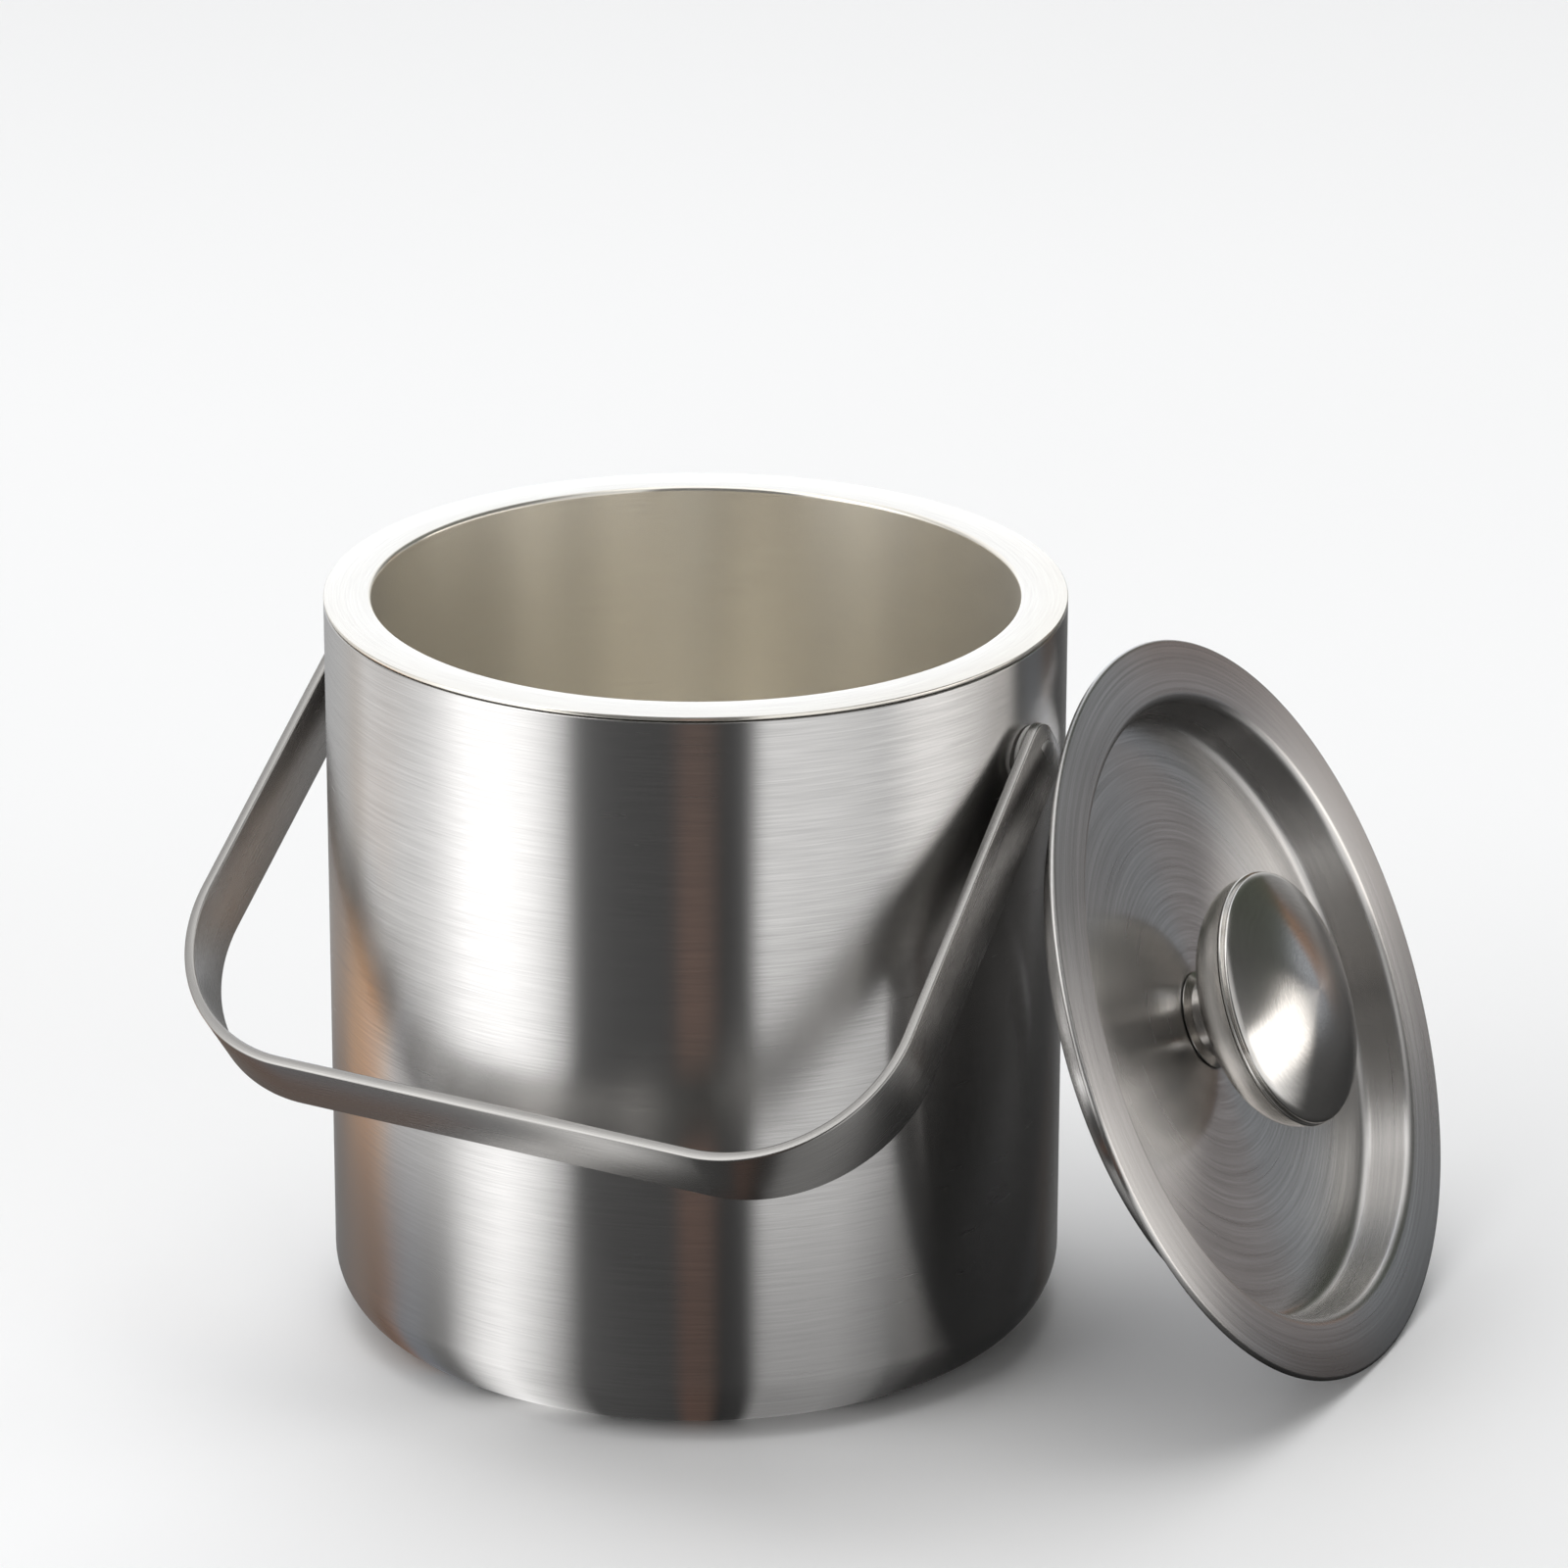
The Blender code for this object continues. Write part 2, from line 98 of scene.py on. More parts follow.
# Bail
STRAP_WIDTH = 0.0146
STRAP_THICKNESS = 0.0020
STRAP_EDGE_RADIUS = 0.00035
STRAP_END_RADIUS = 0.0044
STRAP_END_REACH = 0.0046
ARM_HALF_SPREAD_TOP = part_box("right_pivot_pin")[1].x - STRAP_THICKNESS / 2
ARM_HALF_SPREAD_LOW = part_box("bail_strap")[1].x - STRAP_THICKNESS / 2
BAIL_DROP = 0.0974
BAIL_CORNER_RADIUS = 0.0313
BAIL_REST_SWING = math.radians(51)

# Lid, in its own frame: its seat at Z = 0 and its knob upwards
LID_SHEET = 0.0007
LID_RADIUS = 0.0721
LID_HEM_WIDTH = 0.0030
LID_BEND_START = 0.0618
LID_BEND_RADIUS = 0.0020
LID_WALL_TAPER = 0.0005
LID_RECESS_DEPTH = 0.0105
LID_FILLET_RADIUS = 0.0025
LID_HOLE_RADIUS = 0.0028
WASHER_MIDDLE = -0.0105
LID_NORMAL = Vector(LIFT["axis"]).normalized()

# Knob
CAP_RADIUS = 0.0244
CAP_EDGE_HEIGHT = 0.0097
CAP_TOP_HEIGHT = 0.0156
CAP_SKIRT_FOOT = 0.0079
CAP_EDGE_ROUND = 0.0005
CAP_EDGE_DROP = 0.4 * CAP_EDGE_ROUND
CAP_EDGE_START = 60
CAP_GROOVE = 0.00035
CAP_GROOVE_HEIGHT = 1.5 * CAP_GROOVE
CAP_BAND_TOP_STEP = 0.6 * CAP_GROOVE
CAP_BAND_FOOT_STEP = 0.5 * CAP_GROOVE
CAP_BAND_BEVEL = 0.0002
BOWL_RADIUS = 0.0244
BOWL_LIP_HEIGHT = 0.0076
BOWL_DEPTH = 0.0109
BOWL_FULLNESS = 2.4
NECK_RADIUS = 0.0076
NECK_HEIGHT = -0.0055
KNOB_SHEET = 0.0008
KNOB_FOOT_RADIUS = 0.0095
KNOB_FOOT_GAP = 0.0003
KNOB_FOOT = 2 * LID_SHEET - LID_RECESS_DEPTH + KNOB_FOOT_GAP
KNOB_FOOT_EDGE = 0.0002
KNOB_FOOT_RISE = 0.0010
KNOB_FOOT_FLARE = 0.0003

# Steps round a whole turn, and along each curved stretch of an outline
ROUND_STEPS = 256
SMALL_STEPS = 64
EDGE_STEPS = 3
WALL_BEND_STEPS = 20
WALL_BEND_INNER_STEPS = 12
LIP_STEPS = 8
LIP_INNER_STEPS = 4
LINER_CORNER_STEPS = 16
LINER_CORNER_INNER_STEPS = 10
STRAP_END_STEPS = 12
STRAP_ARM_STEPS = 24
STRAP_CORNER_STEPS = 40
STRAP_BAR_STEPS = 8
LID_HEM_STEPS = 12
LID_BEND_STEPS = 10
LID_BEND_INNER_STEPS = 6
LID_FILLET_STEPS = 10
DOME_STEPS = 32
DOME_INNER_STEPS = 16
CAP_EDGE_STEPS = 4
BOWL_STEPS = 28
FLAT_STEPS = 8

# Mesh making. Edges that turn by more than the sharp angle, in degrees, are drawn sharp.
MERGE_DISTANCE = 1e-6
SHARP_ANGLE = 30
STRAP_SHARP_ANGLE = 50

# Grain. The shares say how much each noise adds, and the stretches multiply the streak or the fineness.
GRAIN_TURN = 0.25
GRAIN_DETAIL = 1.0
NOISE_ROUGHNESS = 0.6
NOISE_LOW = 0.3
NOISE_HIGH = 0.7
FINE_SHARE = 0.6
BROAD_SHARE = 0.2
CLOUD_SHARE = 0.2
CLOUD_SCALE = 38.0
CLOUD_DETAIL = 3.0
TURNED_BROAD_ALONG = 0.5
TURNED_BROAD_ACROSS = 0.35
LONG_FINE_ALONG = 14
LONG_BROAD_ALONG = 3
LONG_BROAD_ACROSS = 0.12
LONG_BROAD_LAYER = 7.0
STRAP_EDGE_GRAIN = 3
SMALLEST_SQUARE = 1e-9

# Camera
CAMERA_LOCATION = (0.6622, -1.1670, 0.6101)
CAMERA_PITCH = math.radians(69.353)
CAMERA_HEADING = math.radians(28.86)
CAMERA_ROLL = math.radians(0.181)
CAMERA_LENS = 173.3
CAMERA_SENSOR = 36.0
CAMERA_REACH = 20.0
CAMERA_SIDE = math.atan2(CAMERA_LOCATION[1], CAMERA_LOCATION[0])

# Studio. Each rise is the pair of heights, in degrees, between which one set of bands gives way to the next.
STUDIO_STRENGTH = 2.2
SKIRT_RISE = (-8, -3)
SIDE_RISE = (11, 15)
SKY_RISE = (62, 80)
SKY = (0.60, 0.60, 0.60, 1.0)
BACKDROP = (0.93, 0.93, 0.93, 1.0)
OVERHEAD_LOCATION = (-0.2, 0.3, 1.6)
OVERHEAD_SIZE = 1.6
OVERHEAD_POWER = 14

# Floor and dark table. The far, full and fade radii are shares of the table's own.
FLOOR_SIZE = 6.0
FLOOR_DROP = 0.0002
FLOOR_ROUGHNESS = 0.9
FLOOR_CLOUD_DETAIL = 2.0
FLOOR_DARKER = 0.84
FLOOR_LIGHTER = 0.87
TABLE_RADIUS = 0.32
TABLE_DROP = 0.0001
TABLE_FAR_START = 0.5
TABLE_FAR_FULL = 0.62
TABLE_FADE_START = 0.78
MIRROR_FAN = 2.0


def grey(level):
    return (level, level, level)


def link(tree, source, target):
    tree.links.new(source, target)


def feed(tree, value, target):
    """Links a socket to an input, or sets the input to a plain value."""
    if isinstance(value, bpy.types.NodeSocket):
        link(tree, value, target)
    else:
        target.default_value = value


def math_node(tree, operation, first, second=None):
    """A Math node. Its inputs are sockets or numbers."""
    node = tree.nodes.new("ShaderNodeMath")
    node.operation = operation
    feed(tree, first, node.inputs[0])
    if second is not None:
        feed(tree, second, node.inputs[1])
    return node.outputs[0]


def scaled(tree, value, factor):
    return math_node(tree, "MULTIPLY", value, factor)


def combine(tree, *values):
    node = tree.nodes.new("ShaderNodeCombineXYZ")
    for target, value in zip(node.inputs, values):
        feed(tree, value, target)
    return node.outputs[0]


def ramp_node(tree, factor, stops):
    """A Color Ramp through (position, colour) stops."""
    node = tree.nodes.new("ShaderNodeValToRGB")
    ramp = node.color_ramp
    while len(ramp.elements) < len(stops):
        ramp.elements.new(1.0)
    for element, (position, colour) in zip(ramp.elements, stops):
        element.position = position
        element.color = (*colour, 1.0)
    link(tree, factor, node.inputs["Fac"])
    return node.outputs["Color"]


def noise_node(tree, vector, detail):
    node = tree.nodes.new("ShaderNodeTexNoise")
    node.inputs["Scale"].default_value = 1.0
    node.inputs["Detail"].default_value = detail
    node.inputs["Roughness"].default_value = NOISE_ROUGHNESS
    link(tree, vector, node.inputs["Vector"])
    return node.outputs["Fac"]


def map_range(tree, value, low, high, to_low, to_high):
    node = tree.nodes.new("ShaderNodeMapRange")
    for socket, number in zip(node.inputs[1:5], (low, high, to_low, to_high)):
        socket.default_value = number
    link(tree, value, node.inputs["Value"])
    return node.outputs["Result"]


def mix_colours(tree, factor, first, second):
    """A Mix node from the first colour to the second, which is a socket or a plain colour."""
    node = tree.nodes.new("ShaderNodeMix")
    node.data_type = "RGBA"
    link(tree, factor, node.inputs["Factor"])
    link(tree, first, node.inputs["A"])
    feed(tree, second, node.inputs["B"])
    return node.outputs["Result"]


def new_material(name):
    material = bpy.data.materials.new(name)
    material.use_nodes = True
    return material


def turned_coordinates(tree):
    """Sockets for the unit circle point, the radius and the height about the piece's own Z axis."""
    coordinates = tree.nodes.new("ShaderNodeTexCoord")
    split = tree.nodes.new("ShaderNodeSeparateXYZ")
    link(tree, coordinates.outputs["Object"], split.inputs[0])
    x, y, z = split.outputs
    squares = math_node(tree, "ADD", math_node(tree, "MULTIPLY", x, x), math_node(tree, "MULTIPLY", y, y))
    radius = math_node(tree, "SQRT", math_node(tree, "ADD", squares, SMALLEST_SQUARE))
    return math_node(tree, "DIVIDE", x, radius), math_node(tree, "DIVIDE", y, radius), radius, z


def turned_grain(tree, fineness, streak):
    """Fine and broad noise coordinates for grain that circles the piece's Z axis."""
    cosine, sine, radius, height = turned_coordinates(tree)
    across = math_node(tree, "ADD", scaled(tree, radius, fineness), scaled(tree, height, fineness))
    fine = combine(tree, scaled(tree, cosine, streak), scaled(tree, sine, streak), across)
    along = streak * TURNED_BROAD_ALONG
    broad = combine(tree, scaled(tree, cosine, along), scaled(tree, sine, along),
                    scaled(tree, across, TURNED_BROAD_ACROSS))
    return fine, broad


def long_grain(tree, fineness, streak):
    """Fine and broad noise coordinates for grain that runs along the UVs."""
    coordinates = tree.nodes.new("ShaderNodeTexCoord")
    split = tree.nodes.new("ShaderNodeSeparateXYZ")
    link(tree, coordinates.outputs["UV"], split.inputs[0])
    along, across, _ = split.outputs
    fine = combine(tree, scaled(tree, along, streak * LONG_FINE_ALONG), scaled(tree, across, fineness), 0.0)
    broad = combine(tree, scaled(tree, along, streak * LONG_BROAD_ALONG),
                    scaled(tree, across, fineness * LONG_BROAD_ACROSS), LONG_BROAD_LAYER)
    return fine, broad


def cloud_noise(tree):
    """Large soft patches over the piece."""
    coordinates = tree.nodes.new("ShaderNodeTexCoord")
    scale = tree.nodes.new("ShaderNodeVectorMath")
    scale.operation = "SCALE"
    scale.inputs["Scale"].default_value = CLOUD_SCALE
    link(tree, coordinates.outputs["Object"], scale.inputs[0])
    return noise_node(tree, scale.outputs[0], CLOUD_DETAIL)


def grained(name, colour, roughness, anisotropy=0.0, grain="turned", fineness=3000.0, streak=6.0,
            grain_depth=0.000006, unevenness=0.10, metallic=1.0):
    """A finish with a fine grain: 'turned' circles the piece's Z axis and 'long' runs along its UVs."""
    material = new_material(name)
    tree = material.node_tree
    shader = tree.nodes["Principled BSDF"]
    shader.inputs["Metallic"].default_value = metallic
    shader.inputs["Anisotropic"].default_value = anisotropy
    coordinates = turned_grain if grain == "turned" else long_grain
    fine, broad = coordinates(tree, fineness, streak)
    fine_noise = noise_node(tree, fine, GRAIN_DETAIL)
    broad_noise = noise_node(tree, broad, GRAIN_DETAIL)
    patches = math_node(tree, "ADD", scaled(tree, broad_noise, BROAD_SHARE),
                        scaled(tree, cloud_noise(tree), CLOUD_SHARE))
    mixed = math_node(tree, "ADD", scaled(tree, fine_noise, FINE_SHARE), patches)
    more = 1 + unevenness
    less = 1 - unevenness
    darker = tuple(channel * less for channel in colour)
    lighter = tuple(min(1.0, channel * more) for channel in colour)
    middle = (NOISE_LOW + NOISE_HIGH) / 2
    tint = ramp_node(tree, mixed, ((NOISE_LOW, darker), (middle, colour), (NOISE_HIGH, lighter)))
    link(tree, tint, shader.inputs["Base Color"])
    rough = map_range(tree, mixed, NOISE_LOW, NOISE_HIGH, roughness * more, roughness * less)
    link(tree, rough, shader.inputs["Roughness"])
    bump = tree.nodes.new("ShaderNodeBump")
    bump.inputs["Strength"].default_value = 1.0
    bump.inputs["Distance"].default_value = grain_depth
    link(tree, fine_noise, bump.inputs["Height"])
    link(tree, bump.outputs["Normal"], shader.inputs["Normal"])
    if anisotropy:
        shader.inputs["Anisotropic Rotation"].default_value = GRAIN_TURN
        tangent = tree.nodes.new("ShaderNodeTangent")
        if grain == "turned":
            tangent.direction_type = "RADIAL"
            tangent.axis = "Z"
        else:
            tangent.direction_type = "UV_MAP"
        link(tree, tangent.outputs[0], shader.inputs["Tangent"])
    return material


def finish_mesh(name, bm, material, matrix, sharp=SHARP_ANGLE):
    bmesh.ops.recalc_face_normals(bm, faces=bm.faces)
    mesh = bpy.data.meshes.new(name)
    bm.to_mesh(mesh)
    bm.free()
    mesh.shade_smooth()
    mesh.set_sharp_from_angle(angle=math.radians(sharp))
    mesh.materials.append(material)
    obj = bpy.data.objects.new(name, mesh)
    obj.matrix_world = matrix
    bpy.context.collection.objects.link(obj)
    return obj


def arc(radius, height, size, start, end, steps):
    """Points of an arc about (radius, height), from start to end in degrees, ends included."""
    angles = (math.radians(start + (end - start) * i / steps) for i in range(steps + 1))
    return [(radius + size * math.cos(a), height + size * math.sin(a)) for a in angles]


def turned(name, outline, material, matrix=None, steps=ROUND_STEPS):
    """Spins a closed outline of (radius, height) points about the local Z axis."""
    bm = bmesh.new()
    verts = [bm.verts.new((radius, 0, height)) for radius, height in outline]
    edges = [bm.edges.new((a, b)) for a, b in zip(verts, verts[1:] + verts[:1])]
    bmesh.ops.spin(bm, geom=verts + edges, cent=(0, 0, 0), axis=(0, 0, 1),
                   angle=math.tau, steps=steps, use_merge=True)
    bmesh.ops.remove_doubles(bm, verts=bm.verts, dist=MERGE_DISTANCE)
    loose = [edge for edge in bm.edges if not edge.link_faces]
    bmesh.ops.delete(bm, geom=loose, context="EDGES")
    return finish_mesh(name, bm, material, matrix or Matrix.Identity(4))


def flat_square(name, half_size, material, matrix):
    bm = bmesh.new()
    bmesh.ops.create_grid(bm, x_segments=FLAT_STEPS, y_segments=FLAT_STEPS, size=half_size)
    return finish_mesh(name, bm, material, matrix)


def place(obj, body, slot, *nodes):
    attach(obj, body)
    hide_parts(*nodes)


def body_wall(material):
    bend = BODY_RADIUS - BOTTOM_EDGE_RADIUS
    opening = BASE_RADIUS + BASE_GAP
    top = arc(BODY_RADIUS - EDGE_SOFTNESS, BODY_TOP - EDGE_SOFTNESS, EDGE_SOFTNESS, 90, 0, EDGE_STEPS)
    outside = arc(bend, BOTTOM_EDGE_RADIUS, BOTTOM_EDGE_RADIUS, 0, -90, WALL_BEND_STEPS)
    inside = arc(bend, BOTTOM_EDGE_RADIUS, BOTTOM_EDGE_RADIUS - SHEET, -90, 0, WALL_BEND_INNER_STEPS)
    outline = [*top, *outside, (opening, 0), (opening, SHEET), *inside, (BODY_RADIUS - SHEET, BODY_TOP)]
    place(turned("wall", outline, material), "bucket", "brushed_steel", "outer_shell")


def liner_cup(material):
    centre = (MOUTH_RADIUS + LIP_RADIUS, RIM_TOP - LIP_RADIUS)
    floor_height = LINER_UNDERSIDE + SHEET
    corner = (MOUTH_RADIUS - LINER_CORNER_RADIUS, floor_height + LINER_CORNER_RADIUS)
    edge = BODY_RADIUS - EDGE_SOFTNESS
    outline = arc(edge, RIM_TOP - SHEET + EDGE_SOFTNESS, EDGE_SOFTNESS, -90, 0, EDGE_STEPS)
    outline += arc(edge, RIM_TOP - EDGE_SOFTNESS, EDGE_SOFTNESS, 0, 90, EDGE_STEPS)
    outline += arc(*centre, LIP_RADIUS, 90, 180, LIP_STEPS)
    outline += arc(*corner, LINER_CORNER_RADIUS, 0, -90, LINER_CORNER_STEPS)
    outline += [(0, floor_height), (0, LINER_UNDERSIDE)]
    outline += arc(*corner, LINER_CORNER_RADIUS + SHEET, -90, 0, LINER_CORNER_INNER_STEPS)
    outline += arc(*centre, LIP_RADIUS - SHEET, 180, 90, LIP_INNER_STEPS)
    place(turned("liner", outline, material), "bucket", "satin_steel", "inner_liner")


def base_disc(material):
    corner = arc(BASE_RADIUS - EDGE_SOFTNESS, EDGE_SOFTNESS, EDGE_SOFTNESS, -90, 0, EDGE_STEPS)
    outline = [(0, 0), *corner, (BASE_RADIUS, BASE_TOP), (0, BASE_TOP)]
    place(turned("base_disc", outline, material), "bucket", "plain_steel", "base_plate")


def pivot_matrix(sign):
    """Local Z points outwards along the pivot axis on that side."""
    return Matrix.Translation(PIVOT) @ Matrix.Rotation(sign * math.pi / 2, 4, "Y")


def pivots(nylon, steel):
    soft = PIVOT_SOFTNESS
    for side, sign in SIDES:
        matrix = pivot_matrix(sign)
        low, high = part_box(side + "_pivot_bush")
        inner_end, face = sorted((abs(low.x), abs(high.x)))
        flange_radius = (high.y - low.y) / 2
        flange = BODY_RADIUS + BUSH_GAP
        corner = arc(flange_radius - soft, face - soft, soft, 0, 90, EDGE_STEPS)
        outline = [(BORE_RADIUS, inner_end), (BUSH_SLEEVE_RADIUS, inner_end), (BUSH_SLEEVE_RADIUS, flange),
                   (flange_radius, flange), *corner, (BORE_RADIUS, face)]
        bush = turned(side + "_bush", outline, nylon, matrix, SMALL_STEPS)
        place(bush, "bucket", "nylon", side + "_pivot_bush")
        low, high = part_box(side + "_spacer_washer")
        start, end = sorted((abs(low.x), abs(high.x)))
        radius = (high.y - low.y) / 2
        outline = [(BORE_RADIUS, start), (radius - soft, start), (radius, start + soft),
                   (radius, end - soft), (radius - soft, end), (BORE_RADIUS, end)]
        spacer = turned(side + "_spacer", outline, nylon, matrix, SMALL_STEPS)
        place(spacer, "bucket", "nylon", side + "_spacer_washer")
        low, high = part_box(side + "_pivot_pin")
        inner, head = sorted((abs(low.x), abs(high.x)))
        cone = head - PIN_HEAD_RIM - (PIN_HEAD_RADIUS - PIN_RADIUS)
        corner = arc(PIN_HEAD_RADIUS - soft, head - soft, soft, 90, 0, EDGE_STEPS)
        outline = [(0, head), *corner, (PIN_HEAD_RADIUS, head - PIN_HEAD_RIM), (PIN_RADIUS, cone),
                   (PIN_RADIUS, inner), (0, inner)]
        pin = turned(side + "_pin", outline, steel, matrix, SMALL_STEPS)
        place(pin, "bail", "plain_steel", side + "_pivot_pin")


def strap_stations():
    """(middle, outward normal, half width) along the strap, from its left end to its right end."""
    centre = Vector((ARM_HALF_SPREAD_LOW - BAIL_CORNER_RADIUS, BAIL_DROP - BAIL_CORNER_RADIUS))
    pivot = Vector((ARM_HALF_SPREAD_TOP, 0))
    reach = centre - pivot
    lean = math.atan2(reach.x, reach.y) + math.asin(BAIL_CORNER_RADIUS / reach.length)
    along = Vector((math.sin(lean), math.cos(lean)))
    normal = Vector((along.y, -along.x))
    arm_end = centre + BAIL_CORNER_RADIUS * normal
    full = STRAP_WIDTH / 2
    right = []
    for i in range(STRAP_END_STEPS + 1):
        turn = math.radians(90) * (1 - i / STRAP_END_STEPS)
        inset = STRAP_END_RADIUS * (1 - math.sin(turn))
        half = full - STRAP_END_RADIUS * (1 - math.cos(turn))
        right.append((pivot - along * (STRAP_END_REACH - inset), normal, half))
    start = right[-1][0].copy()
    for i in range(1, STRAP_ARM_STEPS):
        right.append((start.lerp(arm_end, i / STRAP_ARM_STEPS), normal, full))
    first = math.atan2(normal.y, normal.x)
    for i in range(STRAP_CORNER_STEPS + 1):
        angle = first + (math.pi / 2 - first) * i / STRAP_CORNER_STEPS
        outward = Vector((math.cos(angle), math.sin(angle)))
        right.append((centre + BAIL_CORNER_RADIUS * outward, outward, full))
    for i in range(1, STRAP_BAR_STEPS):
        right.append((Vector((centre.x * (1 - i / STRAP_BAR_STEPS), BAIL_DROP)), Vector((0, 1)), full))
    mirrored = [(Vector((-p.x, p.y)), Vector((-n.x, n.y)), half) for p, n, half in right]
    return mirrored + [(Vector((0, BAIL_DROP)), Vector((0, 1)), full)] + right[::-1]


def strap_section(half):
    """(across, out) points round the strap's section with softly rounded edges."""
    edge = STRAP_EDGE_RADIUS
    out = STRAP_THICKNESS / 2 - edge
    wide = half - edge
    points = []
    for across, height, start in ((wide, out, 90), (wide, -out, 0), (-wide, -out, -90), (-wide, out, -180)):
        points += arc(across, height, edge, start, start - 90, EDGE_STEPS)
    return points


def add_face(bm, uv, corners):
    """A face through (vertex, UV coordinate) corners."""
    face = bm.faces.new([vert for vert, _ in corners])
    for loop, (_, coordinate) in zip(face.loops, corners):
        loop[uv].uv = coordinate


def bail(material):
    stations = strap_stations()
    bm = bmesh.new()
    uv = bm.loops.layers.uv.new("grain")
    rings = []
    distance = 0.0
    previous = stations[0][0]
    for middle, normal, half in stations:
        distance += (middle - previous).length
        previous = middle
        ring = []
        for across, out in strap_section(half):
            point = middle + normal * out
            coordinate = (distance, across + out * STRAP_EDGE_GRAIN)
            ring.append((bm.verts.new((point.x, across, -point.y)), coordinate))
        rings.append(ring)
    count = len(rings[0])
    for ring, following in zip(rings, rings[1:]):
        for i in range(count):
            j = (i + 1) % count
            add_face(bm, uv, (ring[i], ring[j], following[j], following[i]))
    for ring in (rings[0], rings[-1]):
        add_face(bm, uv, ring)
    matrix = Matrix.Translation(PIVOT) @ Matrix.Rotation(-BAIL_REST_SWING, 4, "X")
    strap = finish_mesh("strap", bm, material, matrix, STRAP_SHARP_ANGLE)
    place(strap, "bail", "brushed_steel", "bail_strap")


def lid_matrix():
    """The lid's seat at Z = 0, local Z along the lid's own axis and local X pointing down the slope."""
    low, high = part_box("knob_washer")
    seat = (low + high) / 2 - LID_NORMAL * WASHER_MIDDLE
    turn = math.atan2(LID_NORMAL.y, LID_NORMAL.x)
    tilt = math.acos(LID_NORMAL.z)
    return Matrix.Translation(seat) @ Euler((0, tilt, turn)).to_matrix().to_4x4()


def lid_dish(material, matrix):
    top = 2 * LID_SHEET
    recess = top - LID_RECESS_DEPTH
    wall = LID_BEND_START - LID_BEND_RADIUS
    bend = (LID_BEND_START, top - LID_BEND_RADIUS)
    foot = wall - LID_WALL_TAPER
    fillet = (foot - LID_FILLET_RADIUS, recess + LID_FILLET_RADIUS)
    hem = LID_RADIUS - LID_HEM_WIDTH
    rim = LID_RADIUS - LID_SHEET
    outline = [(hem, LID_SHEET), (hem, 0)]
    outline += arc(rim, LID_SHEET, LID_SHEET, -90, 90, LID_HEM_STEPS)
    outline += arc(*bend, LID_BEND_RADIUS, 90, 180, LID_BEND_STEPS)
    outline += arc(*fillet, LID_FILLET_RADIUS, 0, -90, LID_FILLET_STEPS)
    outline += [(LID_HOLE_RADIUS, recess), (LID_HOLE_RADIUS, recess - LID_SHEET)]
    outline += arc(*fillet, LID_FILLET_RADIUS + LID_SHEET, -90, 0, LID_FILLET_STEPS)
    outline += arc(*bend, LID_BEND_RADIUS - LID_SHEET, 180, 90, LID_BEND_INNER_STEPS)
    place(turned("lid_dish", outline, material, matrix), "lid", "brushed_steel", "lid_pan")


def knob_top(material, matrix):
    rise = CAP_TOP_HEIGHT - CAP_EDGE_HEIGHT
    dome = (CAP_RADIUS ** 2 + rise ** 2) / (2 * rise)
    centre = CAP_TOP_HEIGHT - dome
    rim_angle = math.degrees(math.asin((CAP_RADIUS - CAP_EDGE_ROUND) / dome))
    inner = CAP_RADIUS - KNOB_SHEET
    inner_angle = math.degrees(math.asin(inner / (dome - KNOB_SHEET)))
    edge = CAP_EDGE_HEIGHT - CAP_EDGE_ROUND / 2
    groove = CAP_RADIUS - CAP_GROOVE
    groove_top = edge - CAP_EDGE_ROUND
    band = CAP_RADIUS + CAP_GROOVE
    band_top = groove_top - CAP_GROOVE_HEIGHT
    outline = arc(0, centre, dome, 90, 90 - rim_angle, DOME_STEPS)
    outline += arc(CAP_RADIUS - CAP_EDGE_ROUND, edge - CAP_EDGE_DROP, CAP_EDGE_ROUND, CAP_EDGE_START, 0,
                   CAP_EDGE_STEPS)
    outline += [(groove, groove_top - CAP_GROOVE / 2), (groove, groove_top - CAP_GROOVE),
                (CAP_RADIUS + CAP_BAND_TOP_STEP, band_top), (band, band_top - CAP_BAND_BEVEL),
                (band, CAP_SKIRT_FOOT + CAP_BAND_BEVEL), (CAP_RADIUS + CAP_BAND_FOOT_STEP, CAP_SKIRT_FOOT),
                (inner, CAP_SKIRT_FOOT)]
    outline += arc(0, centre, dome - KNOB_SHEET, 90 - inner_angle, 90, DOME_INNER_STEPS)
    place(turned("knob_top", outline, material, matrix), "lid", "polished_steel", "knob_cap")


def bowl_side(offset, end_radius):
    """A full-bellied curve from the bowl's lip in to end_radius, set inwards by offset."""
    width = BOWL_RADIUS - offset
    depth = BOWL_DEPTH - offset
    power = 2 / BOWL_FULLNESS
    end = math.acos((end_radius / width) ** (1 / power))
    angles = [end * i / BOWL_STEPS for i in range(BOWL_STEPS + 1)]
    return [(width * math.cos(a) ** power, BOWL_LIP_HEIGHT - depth * math.sin(a) ** power) for a in angles]


def knob_underside(material, matrix):
    inner_neck = NECK_RADIUS - KNOB_SHEET
    outline = bowl_side(0, NECK_RADIUS + KNOB_SHEET)
    outline += [(NECK_RADIUS, NECK_HEIGHT), (NECK_RADIUS + KNOB_FOOT_FLARE, KNOB_FOOT + KNOB_FOOT_RISE),
                (KNOB_FOOT_RADIUS, KNOB_FOOT + KNOB_FOOT_EDGE), (KNOB_FOOT_RADIUS, KNOB_FOOT),
                (LID_HOLE_RADIUS, KNOB_FOOT), (LID_HOLE_RADIUS, KNOB_FOOT + KNOB_SHEET),
                (inner_neck, KNOB_FOOT + KNOB_SHEET)]
    outline += bowl_side(KNOB_SHEET, inner_neck)[::-1]
    place(turned("knob_underside", outline, material, matrix), "lid", "polished_steel", "knob_bowl")


